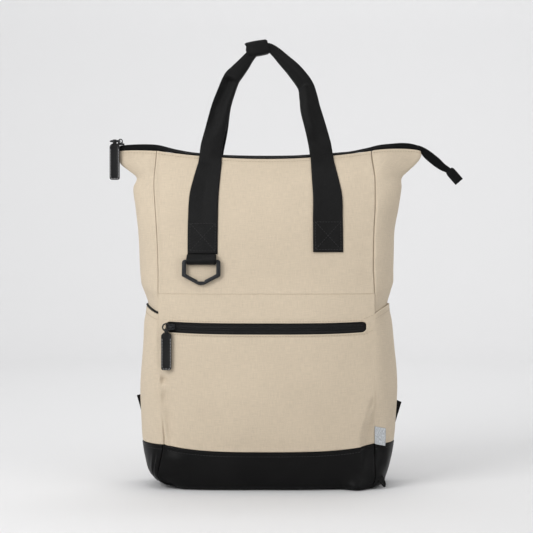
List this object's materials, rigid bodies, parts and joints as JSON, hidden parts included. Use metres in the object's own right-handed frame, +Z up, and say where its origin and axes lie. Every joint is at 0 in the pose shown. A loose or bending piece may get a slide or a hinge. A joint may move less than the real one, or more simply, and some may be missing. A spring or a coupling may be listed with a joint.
{
  "type": "backpack tote",
  "caption": "Canvas backpack tote with a dark leather-look base, a zipped mouth, webbing carry handles, a hanging ring, a zipped front pocket and padded shoulder straps.",
  "frame": {"origin": "on the floor under the middle of the flat base", "axes": "+Z up, +X to the right seen from the front, the front faces -Y"},
  "size_m": [0.4605, 0.1704, 0.5774],
  "materials": {
    "canvas": "woven cotton canvas",
    "base_leather": "satin, fine grain",
    "webbing": "woven webbing",
    "zip_tape": "woven tape",
    "pull_leather": "satin, stitched",
    "dark_metal": "satin",
    "label": "ribbon",
    "strap_pad": "padded fabric",
    "buckle": "moulded"
  },
  "bodies": {
    "bag": {"front_panel": "canvas", "pocket_panel": "canvas", "back_panel": "canvas", "side_left": "canvas", "side_right": "canvas", "side_pocket_left": "canvas", "side_pocket_right": "canvas", "pocket_binding_left": "webbing", "base_front": "base_leather", "base_back": "base_leather", "base_left": "base_leather", "base_right": "base_leather", "base_floor": "base_leather", "top_zip": "zip_tape", "zip_tail": "zip_tape", "zip_end_tab": "pull_leather", "top_slider": "dark_metal", "top_link": "dark_metal", "top_pull": "pull_leather", "pocket_zip": "zip_tape", "pocket_slider": "dark_metal", "pocket_link": "dark_metal", "pocket_pull": "pull_leather", "handle_front": "webbing", "handle_back": "webbing", "handle_wrap": "webbing", "ring_loop": "webbing", "label_tab": "label", "strap_pad_left": "strap_pad", "strap_pad_right": "strap_pad", "strap_web_left": "webbing", "strap_web_right": "webbing", "ladder_lock_left": "buckle", "ladder_lock_right": "buckle", "strap_anchor_left": "webbing", "strap_anchor_right": "webbing"},
    "ring": {"hex_ring": "dark_metal"}
  },
  "joints": [
    {"name": "ring_swing", "type": "hinge", "parent": "bag", "child": "ring", "pos_m": [-0.08253, -0.06191, 0.28883], "axis": [-0.9951, 0.0992, 0], "range_deg": [0, 150]}
  ]
}
